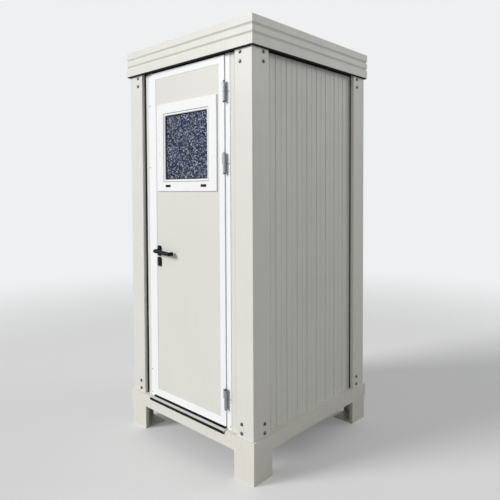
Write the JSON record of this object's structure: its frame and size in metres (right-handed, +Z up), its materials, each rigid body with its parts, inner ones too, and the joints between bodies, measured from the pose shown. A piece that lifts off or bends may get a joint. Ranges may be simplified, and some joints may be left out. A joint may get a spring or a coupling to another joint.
{
  "type": "portable site cabin",
  "caption": "Square one-person site cabin on corner legs, with a folded steel frame, ribbed insulated walls, a grooved roof fascia and a hinged door with a window.",
  "frame": {"origin": "on the ground at the centre of the square plan", "axes": "+X to the right along the front as seen from outside, +Y from the front with the door to the back, +Z up"},
  "size_m": [1.15, 1.174, 2.5],
  "materials": {
    "frame_paint": "satin grey-white powder coat on folded steel",
    "wall_coating": "satin grey-white coil coating with shallow upright grooves",
    "floor_board": "sealed plywood deck",
    "gasket_rubber": "black sealing rubber",
    "door_coating": "smooth white powder coat on aluminium",
    "panel_coating": "smooth grey-white coated sheet",
    "sill_metal": "mill-finish aluminium",
    "window_plastic": "white window profile",
    "window_glass": "obscured double glazing",
    "hinge_metal": "silver-grey coated hinge",
    "handle_nylon": "black moulded nylon",
    "lock_metal": "black-coated brass cylinder",
    "roof_metal": "galvanised steel sheet"
  },
  "bodies": {
    "cabin": {"leg_front_right": "frame_paint", "leg_back_right": "frame_paint", "leg_back_left": "frame_paint", "leg_front_left": "frame_paint", "base_beam_front": "frame_paint", "base_beam_right": "frame_paint", "base_beam_back": "frame_paint", "base_beam_left": "frame_paint", "floor_joists": "frame_paint", "corner_post_front_right": "frame_paint", "corner_post_back_right": "frame_paint", "corner_post_back_left": "frame_paint", "corner_post_front_left": "frame_paint", "corner_brackets": "frame_paint", "roof_fascia_front": "frame_paint", "roof_fascia_right": "frame_paint", "roof_fascia_back": "frame_paint", "roof_fascia_left": "frame_paint", "right_wall": "wall_coating", "left_wall": "wall_coating", "back_wall": "wall_coating", "front_wall_left": "wall_coating", "front_wall_right": "wall_coating", "ceiling_panel": "wall_coating", "floor_panel": "floor_board", "wall_gaskets": "gasket_rubber", "door_jamb_left": "door_coating", "door_jamb_right": "door_coating", "door_head": "door_coating", "door_sill": "sill_metal", "hinge_top_frame_half": "hinge_metal", "hinge_middle_frame_half": "hinge_metal", "hinge_bottom_frame_half": "hinge_metal", "roof_deck": "roof_metal"},
    "door": {"leaf_rim": "door_coating", "leaf_panel": "panel_coating", "window_frame": "window_plastic", "window_bead": "window_plastic", "window_glass": "window_glass", "outer_roses": "handle_nylon", "inner_roses": "handle_nylon", "lock_cylinder": "lock_metal", "hinge_top_leaf_half": "hinge_metal", "hinge_middle_leaf_half": "hinge_metal", "hinge_bottom_leaf_half": "hinge_metal"},
    "lever": {"lever": "handle_nylon"}
  },
  "joints": [
    {"name": "door_swing", "type": "hinge", "parent": "cabin", "child": "door", "pos_m": [0.345, -0.559, 1.2], "axis": [0, 0, 1], "range_deg": [0, 110]},
    {"name": "lever_turn", "type": "hinge", "parent": "door", "child": "lever", "pos_m": [-0.268, -0.5295, 1.201], "axis": [0, 1, 0], "range_deg": [0, 40], "stiffness_Nm_per_rad": 1.5, "springref_deg": -34.38}
  ]
}
